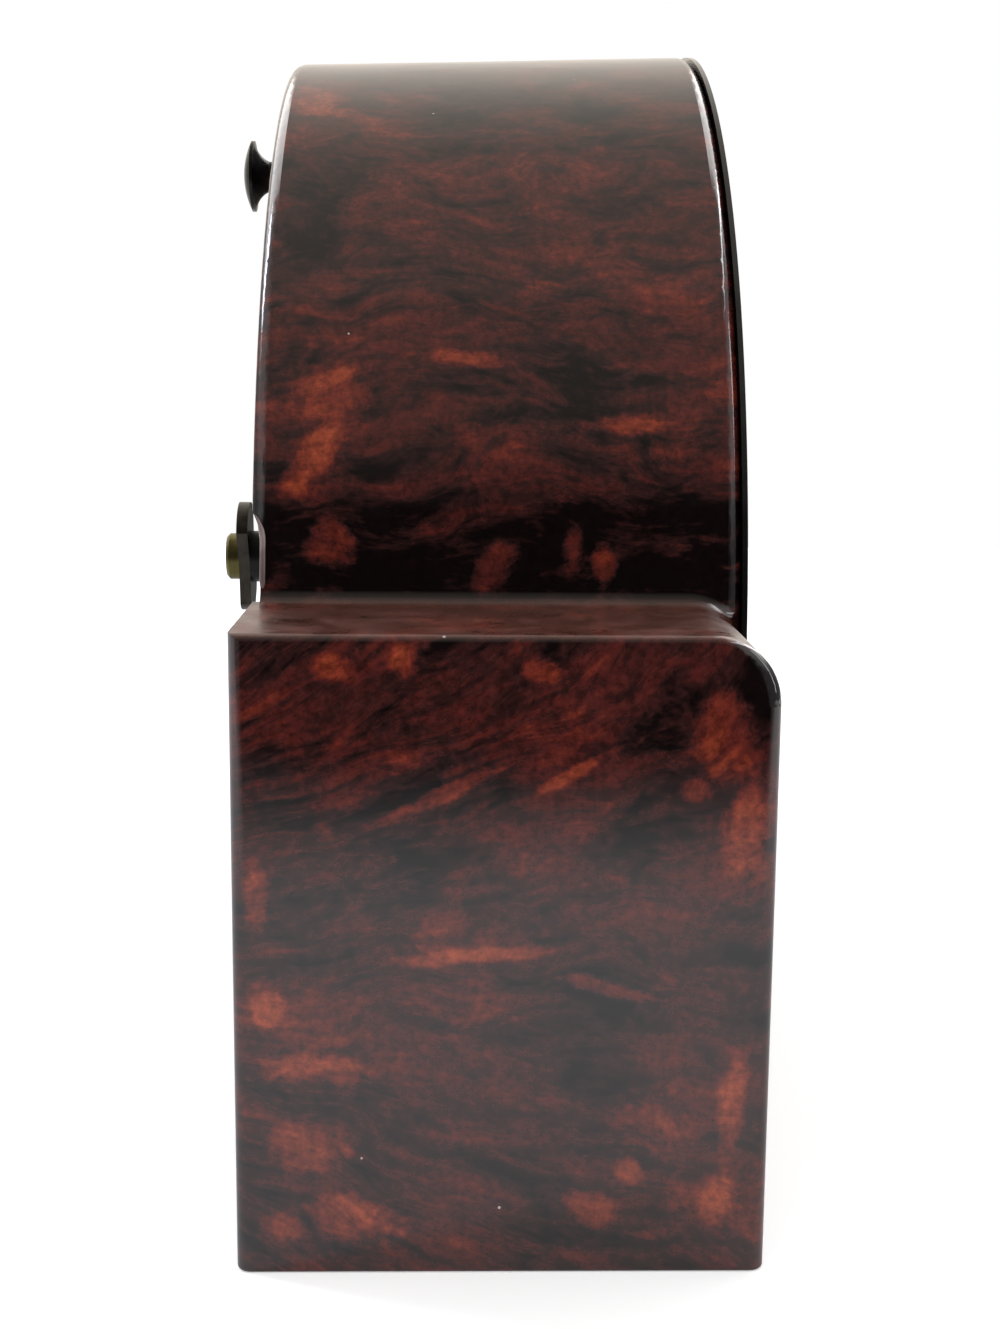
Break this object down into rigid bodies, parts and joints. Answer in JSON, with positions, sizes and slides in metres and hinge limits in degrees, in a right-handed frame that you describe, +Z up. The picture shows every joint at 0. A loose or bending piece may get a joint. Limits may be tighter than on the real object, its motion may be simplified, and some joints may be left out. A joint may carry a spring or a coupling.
{
  "type": "beehive shelf clock",
  "caption": "Small wind-up shelf clock with a round-arched top on a broad block base, front dial under domed glass, and a winding key and set knob at the rear.",
  "frame": {"origin": "on the table, at the middle of the base's footprint", "axes": "+Z up, -Y out of the dial, +X to the right as seen from the front"},
  "size_m": [0.227, 0.0824, 0.1582],
  "materials": {
    "case": "moulded phenolic, mottled dark brown, polished",
    "front_panel": "black phenolic, polished",
    "bezel": "spun and lacquered",
    "crystal": "domed clear glass",
    "reveal": "matt gilt",
    "dial": "ivory enamel",
    "cover": "dark stoved enamel",
    "steel_screw": "slotted, plain",
    "plate_brass": "blanked sheet",
    "turned_brass": "turned",
    "wheel_brass": "cut teeth",
    "arbor_steel": "turned and hardened",
    "sheet_steel": "blanked and polished",
    "spring_steel": "tempered strip",
    "key_collar": "black",
    "key_wings": "dull nickel",
    "key_hub": "turned",
    "knob": "black moulded",
    "hands": "black"
  },
  "bodies": {
    "case": {"case_shell": "case", "front_panel": "front_panel", "bezel_ring": "bezel", "crystal": "crystal", "reveal_ring": "reveal", "dial_plate": "dial", "dial_feet": "plate_brass", "back_cover": "cover", "cover_screws": "steel_screw", "front_plate": "plate_brass", "rear_plate": "plate_brass", "plate_pillars": "turned_brass", "pillar_nuts": "turned_brass", "movement_screws": "steel_screw", "mainspring": "spring_steel", "front_bush": "turned_brass", "rear_bush": "turned_brass", "hairspring": "spring_steel", "hairspring_stud": "turned_brass", "minute_post": "arbor_steel"},
    "great": {"great_wheel": "wheel_brass", "click_rivet": "arbor_steel", "click_spring": "spring_steel"},
    "winding": {"winding_arbor": "arbor_steel", "ratchet_wheel": "sheet_steel", "key_collar": "key_collar", "key_wings": "key_wings", "key_hub": "key_hub"},
    "click": {"click": "sheet_steel"},
    "intermediate": {"intermediate_arbor": "arbor_steel", "intermediate_wheel": "wheel_brass"},
    "center": {"center_arbor": "arbor_steel", "center_wheel": "wheel_brass"},
    "third": {"third_arbor": "arbor_steel", "third_wheel": "wheel_brass"},
    "fourth": {"fourth_arbor": "arbor_steel", "fourth_wheel": "wheel_brass"},
    "escape": {"escape_arbor": "arbor_steel", "escape_wheel": "wheel_brass"},
    "pallet": {"pallet_arbor": "arbor_steel", "pallet_lever": "sheet_steel", "pallet_pins": "arbor_steel"},
    "balance": {"balance_staff": "arbor_steel", "balance_wheel": "wheel_brass", "impulse_roller": "turned_brass", "hairspring_collet": "turned_brass"},
    "regulator": {"regulator_lever": "sheet_steel", "curb_pin": "arbor_steel"},
    "minute_hand_group": {"cannon_pinion": "wheel_brass", "minute_hand": "hands", "hand_nut": "turned_brass"},
    "hour_hand_group": {"hour_wheel": "wheel_brass", "hour_hand": "hands"},
    "minute_wheel": {"minute_wheel": "wheel_brass"},
    "setting": {"setting_arbor": "arbor_steel", "setting_pinion": "wheel_brass", "set_knob": "knob"}
  },
  "joints": [
    {"name": "escape_spin", "type": "hinge", "parent": "case", "child": "escape", "pos_m": [-0.00702, 0, 0.1295], "axis": [0, 1, 0], "continuous": true},
    {"name": "fourth_spin", "type": "hinge", "parent": "case", "child": "fourth", "pos_m": [-0.01645, 0, 0.12289], "axis": [0, 1, 0], "continuous": true},
    {"name": "third_spin", "type": "hinge", "parent": "case", "child": "third", "pos_m": [-0.01421, 0, 0.11017], "axis": [0, 1, 0], "continuous": true},
    {"name": "center_spin", "type": "hinge", "parent": "case", "child": "center", "pos_m": [0, 0, 0.105], "axis": [0, 1, 0], "continuous": true},
    {"name": "intermediate_spin", "type": "hinge", "parent": "case", "child": "intermediate", "pos_m": [-0.01025, 0, 0.09293], "axis": [0, 1, 0], "continuous": true},
    {"name": "great_spin", "type": "hinge", "parent": "case", "child": "great", "pos_m": [0, 0, 0.0746], "axis": [0, 1, 0], "continuous": true},
    {"name": "key_winding", "type": "hinge", "parent": "great", "child": "winding", "pos_m": [0, 0, 0.0746], "axis": [0, -1, 0], "range_deg": [0, 1440]},
    {"name": "click_pivot", "type": "hinge", "parent": "great", "child": "click", "pos_m": [-0.01214, 0, 0.06894], "axis": [0, 1, 0], "range_deg": [-3.5, 5], "stiffness_Nm_per_rad": 0.0002},
    {"name": "pallet_rock", "type": "hinge", "parent": "case", "child": "pallet", "pos_m": [0.00145, 0, 0.131], "axis": [0, 1, 0], "range_deg": [-2, 2]},
    {"name": "balance_swing", "type": "hinge", "parent": "case", "child": "balance", "pos_m": [0.01248, 0, 0.12905], "axis": [0, 1, 0], "range_deg": [-220, 220], "stiffness_Nm_per_rad": 0.000014},
    {"name": "regulator_swing", "type": "hinge", "parent": "case", "child": "regulator", "pos_m": [0.01248, 0, 0.12905], "axis": [0, 1, 0], "range_deg": [-20, 20]},
    {"name": "minute_hand_spin", "type": "hinge", "parent": "case", "child": "minute_hand_group", "pos_m": [0, 0, 0.105], "axis": [0, 1, 0], "continuous": true},
    {"name": "hour_hand_spin", "type": "hinge", "parent": "case", "child": "hour_hand_group", "pos_m": [0, 0, 0.105], "axis": [0, 1, 0], "continuous": true},
    {"name": "minute_wheel_spin", "type": "hinge", "parent": "case", "child": "minute_wheel", "pos_m": [0.00131, 0, 0.12175], "axis": [0, 1, 0], "continuous": true},
    {"name": "set_knob_spin", "type": "hinge", "parent": "case", "child": "setting", "pos_m": [0, 0, 0.1391], "axis": [0, 1, 0], "continuous": true}
  ],
  "couplings": [
    {"joint": "fourth_spin", "follows": "escape_spin", "ratio": -0.125},
    {"joint": "third_spin", "follows": "escape_spin", "ratio": 0.016667},
    {"joint": "center_spin", "follows": "escape_spin", "ratio": -0.0020833},
    {"joint": "intermediate_spin", "follows": "escape_spin", "ratio": 0.00026042},
    {"joint": "great_spin", "follows": "escape_spin", "ratio": -0.000043403},
    {"joint": "hour_hand_spin", "follows": "minute_hand_spin", "ratio": 0.083333},
    {"joint": "minute_wheel_spin", "follows": "minute_hand_spin", "ratio": -0.33333},
    {"joint": "set_knob_spin", "follows": "minute_hand_spin", "ratio": 0.875}
  ]
}
